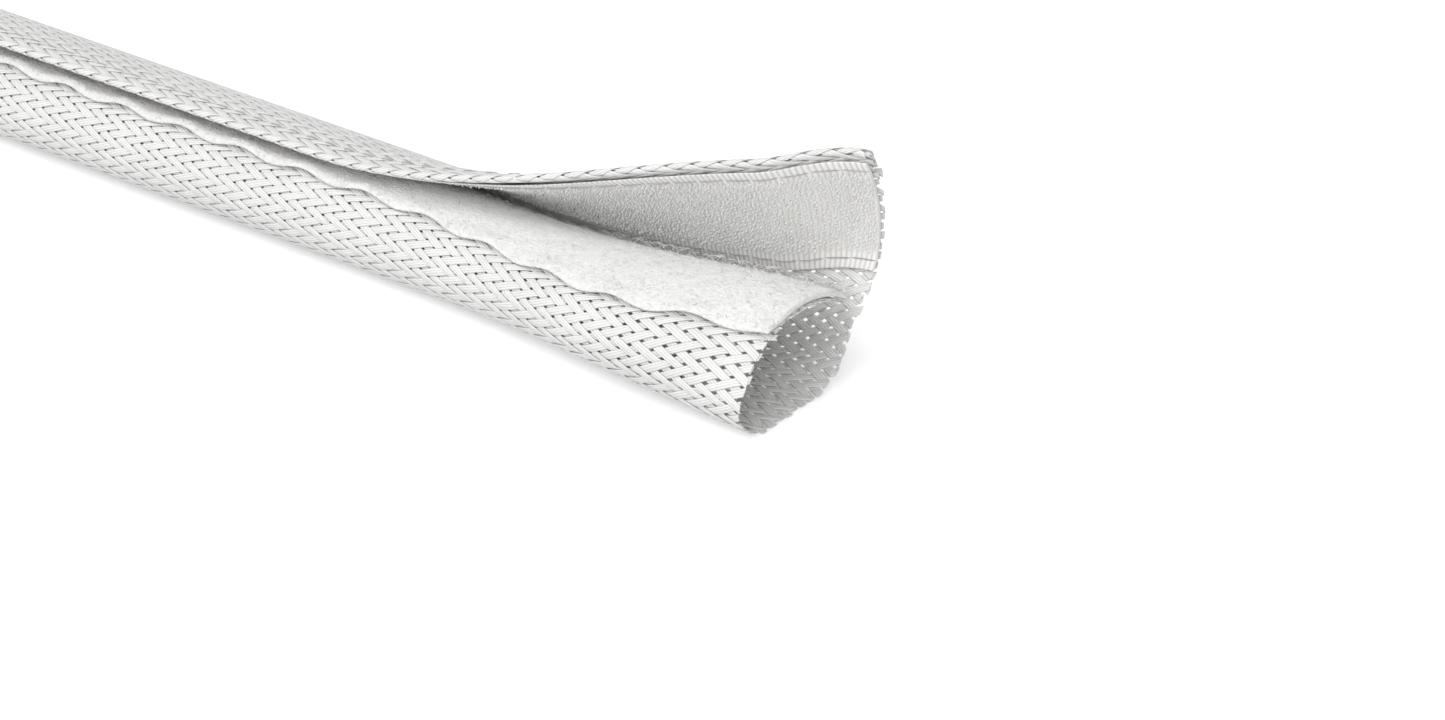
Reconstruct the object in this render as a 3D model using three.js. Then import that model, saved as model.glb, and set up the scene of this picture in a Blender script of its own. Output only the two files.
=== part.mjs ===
// Hook and loop cable sleeve. Sizes are in millimetres and angles in degrees.
// A flat braided cloth is rolled into a tube along X. Its near flap (-Y) carries a loop tape on the
// outside. Its far flap (+Y) carries a hook tape on the inside and laps over the near one. Over the
// last third the flaps are peeled apart, up to the cut end at +X. The tube lies on the plane z = 0.
import * as THREE from 'three';

// Length, and where the flaps begin to part
const LENGTH = 250;
const LOOP_PEEL_FROM = 173;
const LOOP_PEEL_MID = 224;
const HOOK_PEEL_FROM = 162;
const HOOK_PEEL_MID = 235;

// Cloth, tapes and thread
const WALL = 0.55;        // the braid at the crossings
const RIDGE = 0.45;       // a ribbon's crown above its crossings
const CLEAR = 0.3;        // gap between two pieces that lie on each other
const TAPE = 20;          // width of each tape
const EDGE = 0.5;         // braid left beside a tape
const FOLD_EDGE = 1.2;    // and above the hook tape, up to the fold
const SELVEDGE = 3;       // plain border of a tape
const GROUND = 0.35;      // thickness of that border
const PILE = 0.75;        // thickness of a tape with its loops or hooks
const THREAD = 0.3;       // diameter of the sewing thread
const SEAM_IN = 1.7;      // from a tape's edge to its seam
const SCALLOP = 0.45;     // how far the loop tape's lip puckers out between stitches
const HEM = 6;            // braid turned back over the hook flap
const SPREAD = 1.25;      // how much wider the braid fans out at the cut end
const SPREAD_OVER = 55;   // the length over which it does

// The ribbons cross on a slanted lattice
const AROUND = 4;         // pitch around the tube
const ALONG = 9.8;        // pitch along it
const OPENING = 0.24;     // share of a lattice edge that an open crossing takes
const OPEN_OVER = 45;     // length at the mouth where crossings stand open

// Bends of the cloth from the base line outwards, as [length, turn].
// The lengths after the first four lie under the side's tape.
const LOOP_FLAP = TAPE + 2 * EDGE;
const HOOK_FLAP = TAPE + EDGE + FOLD_EDGE;
const LOOP_TAPE_RUN = [0.5 * LOOP_FLAP, 0.5 * LOOP_FLAP];
const HOOK_TAPE_RUN = [0.18 * HOOK_FLAP, 0.37 * HOOK_FLAP, 0.45 * HOOK_FLAP];
const bends = (lengths, turns) => lengths.map((length, i) => [length, turns[i]]);
const LOOP_LENGTHS = [2, 4.5, 4.5, 5.5, 6.5, ...LOOP_TAPE_RUN];
const HOOK_LENGTHS = [2, 4.5, 4.5, 8.5, ...HOOK_TAPE_RUN];
const LOOP_SIDE = {
  closed: bends(LOOP_LENGTHS, [0, 21, 27, 50, 56, 48, 46]),
  parting: bends(LOOP_LENGTHS, [0, 16, 14, 50, 73, 33, 28]),
  mouth: bends(LOOP_LENGTHS, [0, 0, 43, 83, 23, 37, 33]),
  from: LOOP_PEEL_FROM, mid: LOOP_PEEL_MID, sign: -1, flap: LOOP_FLAP,
};
const HOOK_SIDE = {
  closed: bends(HOOK_LENGTHS, [0, 21, 23, 70, 35, 16, 17]),
  parting: bends(HOOK_LENGTHS, [0, 7, 37, 60, -5, 11, 23]),
  mouth: bends(HOOK_LENGTHS, [0, 40, 20, -15, 34, 23, 25]),
  from: HOOK_PEEL_FROM, mid: HOOK_PEEL_MID, sign: 1, flap: HOOK_FLAP,
};
const sum = (list) => list.reduce((total, value) => total + value, 0);
const NEAR = sum(LOOP_LENGTHS);   // cloth from the base line to the loop flap's edge
const FAR = sum(HOOK_LENGTHS);    // and to the fold of the hook flap
const STEP = 0.25;                // step of the cloth's section

// Total turn of a list of bends at the distance q along the cloth
function turnOf(list, q) {
  let turn = 0;
  let start = 0;
  for (const [length, angle] of list) {
    turn += angle * Math.min(Math.max((q - start) / length, 0), 1);
    start += length;
  }
  return turn;
}

// Cubic from p0 to p1 over the span h with the end slopes m0 and m1
function cubic(t, h, p0, m0, p1, m1) {
  const t2 = t * t;
  const t3 = t2 * t;
  return (2 * t3 - 3 * t2 + 1) * p0 + (t3 - 2 * t2 + t) * h * m0
    + (3 * t2 - 2 * t3) * p1 + (t3 - t2) * h * m1;
}

// Turn of the cloth at the station x: closed, then parting, then the mouth
function turnAt(side, x, q) {
  const [a, b, c] = [side.closed, side.parting, side.mouth].map((list) => turnOf(list, q));
  const middleSlope = (c - a) / (LENGTH - side.from);
  const endSlope = (c - b) / (LENGTH - side.mid);
  if (x <= side.from) return a;
  if (x <= side.mid) {
    const h = side.mid - side.from;
    return cubic((x - side.from) / h, h, a, 0, b, middleSlope);
  }
  const h = LENGTH - side.mid;
  return cubic((x - side.mid) / h, h, b, middleSlope, c, endSlope);
}

function smooth(value) {
  const t = Math.min(Math.max(value, 0), 1);
  return t * t * (3 - 2 * t);
}

// The section of the cloth at the station x, walked along its length so that it keeps that length
const sections = new Map();
function sectionOf(side, x) {
  const name = `${side.sign} ${x.toFixed(4)}`;
  if (sections.has(name)) return sections.get(name);
  const total = side.sign < 0 ? NEAR : FAR;
  const count = Math.ceil(total / STEP);
  const ds = total / count;
  const fan = 1 + (SPREAD - 1) * smooth((x - LENGTH + SPREAD_OVER) / SPREAD_OVER);
  const points = [{ y: 0, z: 0, turn: 0 }];
  for (let i = 0; i < count; i += 1) {
    const middle = (i + 0.5) * ds;
    const turn = THREE.MathUtils.degToRad(turnAt(side, x, middle));
    const step = middle < total - side.flap ? ds * fan : ds;
    const last = points[i];
    const end = THREE.MathUtils.degToRad(turnAt(side, x, (i + 1) * ds));
    points.push({
      y: last.y + side.sign * Math.cos(turn) * step,
      z: last.z + Math.sin(turn) * step,
      turn: end,
    });
  }
  sections.set(name, points);
  return points;
}

// A point on the cloth: x along the sleeve, q around it (near side below zero), and lift, its
// distance outwards from the middle of the wall. What lies under the tube is pressed flat.
const BASE = WALL / 2;
function place(x, q, lift) {
  const side = q < 0 ? LOOP_SIDE : HOOK_SIDE;
  const points = sectionOf(side, x);
  const along = (Math.abs(q) / (q < 0 ? NEAR : FAR)) * (points.length - 1);
  const i = Math.min(Math.floor(along), points.length - 2);
  const w = along - i;
  const mixed = (key) => points[i][key] * (1 - w) + points[i + 1][key] * w;
  const turn = mixed('turn');
  const y = mixed('y') + side.sign * Math.sin(turn) * lift;
  const z = mixed('z') - Math.cos(turn) * lift + BASE;
  return new THREE.Vector3(x - LENGTH / 2, y, Math.max(z, 0));
}

// A body gathered vertex by vertex and face by face
class Body {
  constructor() {
    this.positions = [];
    this.index = [];
    this.names = new Map();
  }

  vertex(name, point) {
    if (!this.names.has(name)) {
      this.names.set(name, this.positions.length / 3);
      const p = point();
      this.positions.push(p.x, p.y, p.z);
    }
    return this.names.get(name);
  }

  // A polygon as a fan from its first corner
  face(corners, reversed = false) {
    const ring = reversed ? [...corners].reverse() : corners;
    for (let i = 1; i < ring.length - 1; i += 1) {
      this.index.push(ring[0], ring[i], ring[i + 1]);
    }
  }

  geometry() {
    const geometry = new THREE.BufferGeometry();
    geometry.setAttribute('position', new THREE.Float32BufferAttribute(this.positions, 3));
    geometry.setIndex(this.index);
    geometry.computeVertexNormals();
    return geometry;
  }
}

// The braid's grid. Rows a run along the sleeve and columns b around it, both at half the lattice
// pitch. Where a + b is even a ribbon crosses another, and where it is odd four crossings meet.
const ROWS = Math.round((2 * LENGTH) / ALONG);
const COLUMNS = 4 * Math.round((NEAR + FAR) / (2 * AROUND));
const rowX = (a) => (LENGTH * a) / ROWS;
const columnQ = (b) => -NEAR + ((NEAR + FAR) * b) / COLUMNS;
const isCrossing = (a, b) => (a + b) % 2 === 0;
const LIP_Q = -(NEAR - EDGE - TAPE);   // lower edge of the loop tape
const HOOK_Q = FAR - FOLD_EDGE - TAPE; // lower edge of the hook tape

// Ribbons stand out where no tape or hem covers them
function isRidged(b) {
  const q = columnQ(b);
  return q > LIP_Q + 2 * EDGE && q < FAR - HEM - 2 * EDGE;
}

// Crossings stand open at the mouth: in the far wall, and in one row under the lip
function isOpen(a, b) {
  const q = columnQ(b);
  const x = rowX(a);
  const inner = a > 1 && a < ROWS - 1 && !isCrossing(a, b) && x > LENGTH - OPEN_OVER;
  const farWall = q > 0.3 * HOOK_Q && q < HOOK_Q - 2 * EDGE;
  const underLip = q > LIP_Q + 2 * EDGE && q < LIP_Q + 2 * EDGE + AROUND;
  return inner && (farWall || underLip);
}

// Two neighbouring crossings belong to one float of a ribbon: the families change sides every
// second column, so that the floats run in rows of arrowheads
function isFloat(b, rising) {
  return b % 2 === 0 && (b % 4 === 0) === rising && isRidged(b) && isRidged(b + 1);
}

function braidedSleeve() {
  const body = new Body();
  const OUT = 'out';
  const IN = 'in';
  const liftOf = (layer, a, b) => {
    if (layer === IN) return -WALL / 2;
    return WALL / 2 + (isCrossing(a, b) && isRidged(b) ? RIDGE : 0);
  };
  const plain = (layer, a, b) => body.vertex(`${layer} ${a} ${b}`,
    () => place(rowX(a), columnQ(b), liftOf(layer, a, b)));
  // A corner of the lattice as seen from the square that lies towards (da, db)
  const corner = (layer, a, b, da, db) => {
    if (!isOpen(a, b)) return plain(layer, a, b);
    return body.vertex(`${layer} ${a} ${b} ${da} ${db}`,
      () => place(rowX(a + da * OPENING), columnQ(b + db * OPENING), liftOf(layer, a, b)));
  };

  const square = (layer, a, b) => {
    const reversed = layer === OUT;
    const [sw, se, ne, nw] = [
      corner(layer, a, b, 1, 1), corner(layer, a + 1, b, -1, 1),
      corner(layer, a + 1, b + 1, -1, -1), corner(layer, a, b + 1, 1, -1),
    ];
    const rising = isCrossing(a, b);
    const ridge = layer === OUT && isFloat(b, rising);
    if (rising === ridge) {
      body.face([sw, se, ne], reversed);
      body.face([sw, ne, nw], reversed);
    } else {
      body.face([se, ne, nw], reversed);
      body.face([se, nw, sw], reversed);
    }
  };

  // A flat lozenge between four lattice corners, with no crown at its crossing, which is enough
  // where the tube is closed and straight
  const lozenge = (layer, a, b) => {
    const ring = [];
    const sides = [[1, 0], [0, 1], [-1, 0], [0, -1]];
    for (const [da, db] of sides) {
      const first = da ? [-da, -da] : [db, -db];
      const second = da ? [-da, da] : [-db, -db];
      const open = isOpen(a + da, b + db);
      ring.push(corner(layer, a + da, b + db, ...first));
      if (open) ring.push(corner(layer, a + da, b + db, ...second));
    }
    body.face(ring, layer === OUT);
  };

  const hasCrown = (layer, b) => layer === OUT && isRidged(b);
  const inside = (a, b) => a > 0 && a < ROWS && b > 0 && b < COLUMNS;
  const isPlainLozenge = (layer, a, b) => isCrossing(a, b) && inside(a, b)
    && !hasCrown(layer, b) && rowX(a + 1) < HOOK_PEEL_FROM;
  for (const layer of [OUT, IN]) {
    for (let a = 0; a < ROWS; a += 1) {
      for (let b = 0; b < COLUMNS; b += 1) squareHalves(layer, a, b);
    }
    for (let a = 1; a < ROWS; a += 1) {
      for (let b = 1; b < COLUMNS; b += 1) {
        if (isPlainLozenge(layer, a, b)) lozenge(layer, a, b);
      }
    }
  }

  // The two halves of a square, without those that a plain lozenge already covers
  function squareHalves(layer, a, b) {
    const rising = isCrossing(a, b);
    const ends = rising ? [[a, b], [a + 1, b + 1]] : [[a + 1, b], [a, b + 1]];
    const flat = ends.map(([i, j]) => isPlainLozenge(layer, i, j));
    if (!flat[0] && !flat[1]) {
      square(layer, a, b);
      return;
    }
    const reversed = layer === OUT;
    const low = rising ? corner(layer, a + 1, b, -1, 1) : corner(layer, a, b, 1, 1);
    const high = rising ? corner(layer, a, b + 1, 1, -1) : corner(layer, a + 1, b + 1, -1, -1);
    if (!flat[0]) body.face([plain(layer, ...ends[0]), ...(rising ? [low, high] : [high, low])], reversed);
    if (!flat[1]) body.face([plain(layer, ...ends[1]), ...(rising ? [high, low] : [low, high])], reversed);
  }

  // Each open crossing: its rim on both faces, and the short walls between them
  const turns = [[1, 1], [-1, 1], [-1, -1], [1, -1]];
  const beside = [[0, 1], [-1, 0], [0, -1], [1, 0]];
  for (let a = 0; a <= ROWS; a += 1) {
    for (let b = 0; b <= COLUMNS; b += 1) {
      if (isOpen(a, b)) {
        beside.forEach(([da, db], k) => {
          const right = turns[k];
          const left = turns[(k + 1) % 4];
          for (const layer of [OUT, IN]) {
            if (!isPlainLozenge(layer, a + da, b + db)) {
              body.face([plain(layer, a + da, b + db), corner(layer, a, b, ...left),
                corner(layer, a, b, ...right)], layer === OUT);
            }
          }
          body.face([corner(OUT, a, b, ...left), corner(OUT, a, b, ...right),
            corner(IN, a, b, ...right), corner(IN, a, b, ...left)]);
        });
      }
    }
  }

  // The hem: over the fold at the hook flap's edge, then back down the outside
  const radius = (WALL + CLEAR) / 2;
  const hemColumns = [{ angle: 90 }, { angle: 180 }, { back: HEM / 2 }, { back: HEM }];
  const hemPoint = (layer, a, column) => {
    const x = rowX(a);
    const outwards = layer === OUT ? radius - WALL / 2 : radius + WALL / 2;
    if (column.back) return place(x, FAR - column.back, radius + outwards);
    const angle = THREE.MathUtils.degToRad(column.angle);
    const centre = place(x, FAR, radius);
    const normal = place(x, FAR, radius + 1).sub(centre);
    const along = centre.clone().sub(place(x, FAR - 1, radius)).normalize();
    return centre.addScaledVector(normal, -outwards * Math.cos(angle))
      .addScaledVector(along, outwards * Math.sin(angle));
  };
  const edge = (layer, a, h) => (h === 0 ? plain(layer, a, COLUMNS)
    : body.vertex(`${layer} hem ${a} ${h}`, () => hemPoint(layer, a, hemColumns[h - 1])));
  const LAST = hemColumns.length;
  for (let a = 0; a < ROWS; a += 1) {
    for (let h = 0; h < LAST; h += 1) {
      for (const layer of [OUT, IN]) {
        body.face([edge(layer, a, h), edge(layer, a + 1, h), edge(layer, a + 1, h + 1),
          edge(layer, a, h + 1)], layer === OUT);
      }
    }
    body.face([plain(OUT, a, 0), plain(OUT, a + 1, 0), plain(IN, a + 1, 0), plain(IN, a, 0)]);
    body.face([edge(OUT, a + 1, LAST), edge(OUT, a, LAST), edge(IN, a, LAST), edge(IN, a + 1, LAST)]);
  }

  // The two cut ends
  const column = (layer, a, b) => (b <= COLUMNS ? plain(layer, a, b) : edge(layer, a, b - COLUMNS));
  for (let b = 0; b < COLUMNS + LAST; b += 1) {
    for (const a of [0, ROWS]) {
      body.face([column(OUT, a, b + 1), column(OUT, a, b), column(IN, a, b), column(IN, a, b + 1)], a > 0);
    }
  }
  return body.geometry();
}

// A tape's thickness at the distance t from its edge
function tapeThickness(t) {
  const inwards = Math.min(t, TAPE - t);
  return inwards < SELVEDGE ? GROUND : PILE;
}

// The loop tape's lip puckers out at every other row
function pucker(row, t) {
  return row % 2 === 0 ? SCALLOP * Math.max(1 - t / SELVEDGE, 0) : 0;
}

// A tape on the cloth. at(t) is the place around the sleeve at the distance t from its lower edge,
// and face is 1 for a tape on the outside and -1 for one on the inside.
function tape(at, face, wavy) {
  const body = new Body();
  const nap = TAPE - 2 * SELVEDGE;
  const columns = [0, SELVEDGE - 0.1, SELVEDGE + 0.1, SELVEDGE + nap / 4, TAPE / 2,
    TAPE - SELVEDGE - nap / 4, TAPE - SELVEDGE - 0.1, TAPE - SELVEDGE + 0.1, TAPE];
  const under = WALL / 2 + CLEAR;
  const rows = [...Array(ROWS + 1).keys()].filter((a) => wavy || a % 2 === 0 || a === ROWS
    || rowX(a) > HOOK_PEEL_FROM);
  const point = (top, row, t) => body.vertex(`${top} ${row} ${t}`, () => {
    const lift = under + (top ? tapeThickness(t) : 0) + (wavy ? pucker(row, t) : 0);
    return place(rowX(row), at(t), face * lift);
  });
  for (let i = 0; i < rows.length - 1; i += 1) {
    const [a, b] = [rows[i], rows[i + 1]];
    for (let j = 0; j < columns.length - 1; j += 1) {
      const [s, t] = [columns[j], columns[j + 1]];
      body.face([point(true, a, s), point(true, b, s), point(true, b, t), point(true, a, t)]);
      body.face([point(false, a, t), point(false, b, t), point(false, b, s), point(false, a, s)]);
    }
    body.face([point(false, a, 0), point(false, b, 0), point(true, b, 0), point(true, a, 0)]);
    body.face([point(true, a, TAPE), point(true, b, TAPE), point(false, b, TAPE),
      point(false, a, TAPE)]);
  }
  for (const row of [0, ROWS]) {
    for (let j = 0; j < columns.length - 1; j += 1) {
      const [s, t] = [columns[j], columns[j + 1]];
      body.face([point(false, row, s), point(true, row, s), point(true, row, t),
        point(false, row, t)], row > 0);
    }
  }
  return body.geometry();
}

const loopAt = (t) => LIP_Q - t;
const hookAt = (t) => HOOK_Q + t;

const SEAM_STEPS = 40;

// A row of sewing thread that lies on a tape at the distance t from its lower edge
function seam(at, face, wavy, t) {
  const lift = WALL / 2 + CLEAR + GROUND + CLEAR + THREAD / 2;
  const points = [];
  for (let row = 0; row <= ROWS; row += 1) {
    const x = Math.min(Math.max(rowX(row), THREAD), LENGTH - THREAD);
    points.push(place(x, at(t), face * (lift + (wavy ? pucker(row, t) : 0))));
  }
  const section = new THREE.Shape();
  section.absarc(0, 0, THREAD / 2, 0, 2 * Math.PI);
  return new THREE.ExtrudeGeometry(section, {
    steps: SEAM_STEPS, curveSegments: 2, bevelEnabled: false,
    extrudePath: new THREE.CatmullRomCurve3(points),
  });
}

const braidCloth = new THREE.MeshStandardMaterial({ color: 0xe9e9e7, roughness: 0.55 });
const loopPile = new THREE.MeshStandardMaterial({ color: 0xf4f4f2, roughness: 0.95 });
const hookPile = new THREE.MeshStandardMaterial({ color: 0xdedcd8, roughness: 0.6 });
const thread = new THREE.MeshStandardMaterial({ color: 0xd2d1ce, roughness: 0.6 });

const sleeve = new THREE.Group();
function add(name, geometry, material) {
  const mesh = new THREE.Mesh(geometry, material);
  mesh.name = name;
  sleeve.add(mesh);
}
add('braided_sleeve', braidedSleeve(), braidCloth);
add('loop_tape', tape(loopAt, 1, true), loopPile);
add('hook_tape', tape(hookAt, -1, false), hookPile);
add('loop_tape_lip_seam', seam(loopAt, 1, true, SEAM_IN), thread);
add('loop_tape_edge_seam', seam(loopAt, 1, true, TAPE - SEAM_IN), thread);
add('hook_tape_lower_seam', seam(hookAt, -1, false, SEAM_IN), thread);
add('hook_tape_upper_seam', seam(hookAt, -1, false, TAPE - SEAM_IN), thread);

export default sleeve;
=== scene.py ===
# %% [markdown]
# # Hook and loop cable sleeve
# A flat braided cloth is rolled into a tube and closed lengthwise by two sewn tapes. The near flap
# carries loops on its outside, the far flap carries hooks on its inside and laps over it. Over the
# last third the flaps are peeled apart. Every piece below is first drawn flat, as the cloth lies on
# the cutting table, and then laid on the rolled cloth by one node group.

# %% The frame that every piece fits
import math
import bpy
import numpy as np
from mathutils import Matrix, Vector


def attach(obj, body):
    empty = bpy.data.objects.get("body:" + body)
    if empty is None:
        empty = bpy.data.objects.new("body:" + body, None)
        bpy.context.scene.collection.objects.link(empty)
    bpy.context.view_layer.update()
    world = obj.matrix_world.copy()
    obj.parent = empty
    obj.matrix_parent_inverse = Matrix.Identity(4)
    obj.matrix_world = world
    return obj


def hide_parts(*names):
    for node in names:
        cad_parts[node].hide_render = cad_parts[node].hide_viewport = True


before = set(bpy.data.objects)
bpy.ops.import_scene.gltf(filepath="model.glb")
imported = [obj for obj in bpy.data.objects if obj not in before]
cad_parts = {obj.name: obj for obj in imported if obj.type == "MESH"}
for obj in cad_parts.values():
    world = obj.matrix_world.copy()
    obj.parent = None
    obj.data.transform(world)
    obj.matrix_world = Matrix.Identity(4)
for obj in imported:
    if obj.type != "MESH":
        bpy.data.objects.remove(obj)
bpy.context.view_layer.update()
MM = 0.001

# %% [markdown]
# ## The form of the cloth
# A woven cloth bends easily but keeps its length. So its section is not drawn point by point: it is
# walked along the cloth, from the line it lies on outwards, and only the bend of each stretch is
# given. Three sections are enough: closed, parting, and the open mouth. The bends of the stations
# between them follow a smooth curve, and the length along the cloth stays what it is.

# %% Sizes in millimetres
LENGTH = 250.0
WALL, CLEAR = 0.55, 0.3
TAPE, EDGE, FOLD_EDGE, SELVEDGE = 20.0, 0.5, 1.2, 3.0
GROUND, PILE = 0.35, 0.75
HEM, HEM_RADIUS = 6.0, 0.45
SPREAD, SPREAD_OVER = 1.25, 55.0
LOOP_FLAP = TAPE + 2 * EDGE
HOOK_FLAP = TAPE + EDGE + FOLD_EDGE
LOOP_SIDE = {
    "sign": -1, "from": 173.0, "mid": 224.0, "flap": LOOP_FLAP,
    "lengths": [2, 4.5, 4.5, 5.5, 6.5, 0.5 * LOOP_FLAP, 0.5 * LOOP_FLAP],
    "closed": [0, 21, 27, 50, 56, 48, 46],
    "parting": [0, 16, 14, 50, 73, 33, 28],
    "mouth": [0, 0, 43, 83, 23, 37, 33],
}
HOOK_SIDE = {
    "sign": 1, "from": 162.0, "mid": 235.0, "flap": HOOK_FLAP,
    "lengths": [2, 4.5, 4.5, 8.5, 0.18 * HOOK_FLAP, 0.37 * HOOK_FLAP, 0.45 * HOOK_FLAP],
    "closed": [0, 21, 23, 70, 35, 16, 17],
    "parting": [0, 7, 37, 60, -5, 11, 23],
    "mouth": [0, 40, 20, -15, 34, 23, 25],
}
NEAR, FAR = sum(LOOP_SIDE["lengths"]), sum(HOOK_SIDE["lengths"])
LIP_Q, HOOK_Q = -(NEAR - EDGE - TAPE), FAR - FOLD_EDGE - TAPE
FOLD = math.pi * HEM_RADIUS
BRAID_END = FAR + FOLD + HEM
print(f"cloth {NEAR + BRAID_END:.1f} mm wide, of which {NEAR + FAR:.1f} mm around the tube")


# %% The cloth's section at one station
def turn_at(side, x, q):
    """Turn of the cloth in degrees at the station x and the distances q from the base line."""
    ends = np.concatenate([[0], np.cumsum(side["lengths"])])
    closed, parting, mouth = (
        np.interp(q, ends, np.concatenate([[0], np.cumsum(side[key])]))
        for key in ("closed", "parting", "mouth"))
    slope, last = (mouth - closed) / (LENGTH - side["from"]), (mouth - parting) / (LENGTH - side["mid"])
    if x <= side["from"]:
        return closed
    if x <= side["mid"]:
        start, h, p0, m0, p1, m1 = side["from"], side["mid"] - side["from"], closed, 0, parting, slope
    else:
        start, h, p0, m0, p1, m1 = side["mid"], LENGTH - side["mid"], parting, slope, mouth, last
    t = min((x - start) / h, 1.0)
    return ((2 * t**3 - 3 * t**2 + 1) * p0 + (t**3 - 2 * t**2 + t) * h * m0
            + (3 * t**2 - 2 * t**3) * p1 + (t**3 - t**2) * h * m1)


def fan_at(x):
    """How much the braid is spread around the tube at the station x."""
    t = min(max((x - LENGTH + SPREAD_OVER) / SPREAD_OVER, 0.0), 1.0)
    return 1 + (SPREAD - 1) * t * t * (3 - 2 * t)


def section(side, x, q):
    """y, z and turn in radians of the middle of the cloth at the distances q, which are not negative."""
    step, total = 0.1, sum(side["lengths"])
    ends = np.arange(0, max(q) + step, step)
    middles = ends[:-1] + step / 2
    turn = np.radians(turn_at(side, x, middles))
    length = np.where(middles < total - side["flap"], step * fan_at(x), step)
    y = np.concatenate([[0], np.cumsum(side["sign"] * np.cos(turn) * length)])
    z = np.concatenate([[0], np.cumsum(np.sin(turn) * length)])
    return np.interp(q, ends, y), np.interp(q, ends, z), np.radians(turn_at(side, x, q))


# %% The form as a surface that pieces can be laid on
MARGIN = 3.0
STATIONS = np.linspace(-MARGIN, LENGTH + MARGIN, 160)
near_q = np.linspace(NEAR + MARGIN, 0, 50)
far_q = np.linspace(0, FAR, 44)[1:]
fold_angle = np.linspace(0, math.pi, 11)[1:]
leg_q = np.linspace(0, HEM + MARGIN, 8)[1:]
COLUMNS = np.concatenate([-near_q, far_q, FAR + HEM_RADIUS * fold_angle, FAR + FOLD + leg_q])


def form_row(x):
    """Middle of the cloth and outward direction at each column of the station x."""
    y, z, turn = section(LOOP_SIDE, x, near_q)
    parts = [(y, z, -np.sin(turn), -np.cos(turn))]
    y, z, turn = section(HOOK_SIDE, x, far_q)
    parts.append((y, z, np.sin(turn), -np.cos(turn)))
    ny, nz = np.sin(turn[-1]), -np.cos(turn[-1])
    ty, tz = -nz, ny
    cy, cz = y[-1] + ny * HEM_RADIUS, z[-1] + nz * HEM_RADIUS
    c, s = np.cos(fold_angle), np.sin(fold_angle)
    parts.append((cy + HEM_RADIUS * (-ny * c + ty * s), cz + HEM_RADIUS * (-nz * c + tz * s),
                  ny * c - ty * s, nz * c - tz * s))
    y, z, turn = section(HOOK_SIDE, x, FAR - leg_q)
    ny, nz = np.sin(turn), -np.cos(turn)
    parts.append((y + ny * 2 * HEM_RADIUS, z + nz * 2 * HEM_RADIUS, -ny, -nz))
    return np.stack([np.concatenate(column) for column in zip(*parts)], -1)


def form_mesh():
    """The guide surface, with each point's place on the flat cloth and its outward direction."""
    rows = np.array([form_row(x) for x in STATIONS])
    n, m = len(STATIONS), len(COLUMNS)
    x = np.repeat(STATIONS[:, None] - LENGTH / 2, m, 1)
    points = np.stack([x, rows[..., 0], rows[..., 1] + WALL / 2], -1).reshape(-1, 3) * MM
    corner = np.arange(n * m).reshape(n, m)
    faces = np.stack([corner[:-1, :-1], corner[:-1, 1:], corner[1:, 1:], corner[1:, :-1]], -1)
    mesh = bpy.data.meshes.new("cloth_form")
    mesh.from_pydata(points.tolist(), [], faces.reshape(-1, 4).tolist())
    u = np.repeat(((STATIONS - STATIONS[0]) / (STATIONS[-1] - STATIONS[0]))[:, None], m, 1)
    v = np.repeat(((COLUMNS - COLUMNS[0]) / (COLUMNS[-1] - COLUMNS[0]))[None], n, 0)
    for name, values in (("plan", np.stack([u, v, 0 * u], -1)),
                         ("outwards", np.stack([0 * u, rows[..., 2], rows[..., 3]], -1))):
        mesh.attributes.new(name, "FLOAT_VECTOR", "POINT").data.foreach_set("vector", values.ravel())
    return mesh


cloth_form = bpy.data.objects.new("cloth_form", form_mesh())
bpy.context.scene.collection.objects.link(cloth_form)
print("form:", len(cloth_form.data.vertices), "points")


# %% [markdown]
# ## A node group that lays flat pieces on the cloth
# In the flat drawing x runs along the sleeve, y around it and z stands out of the cloth. Sample UV
# Surface looks up the same place on the rolled form, so that ribbons, tapes, stitches and loops can
# all be made where they are easy to make. Group inputs give it the form and the size of the puckers
# that the sewing leaves along the loop tape's lip.

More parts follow.
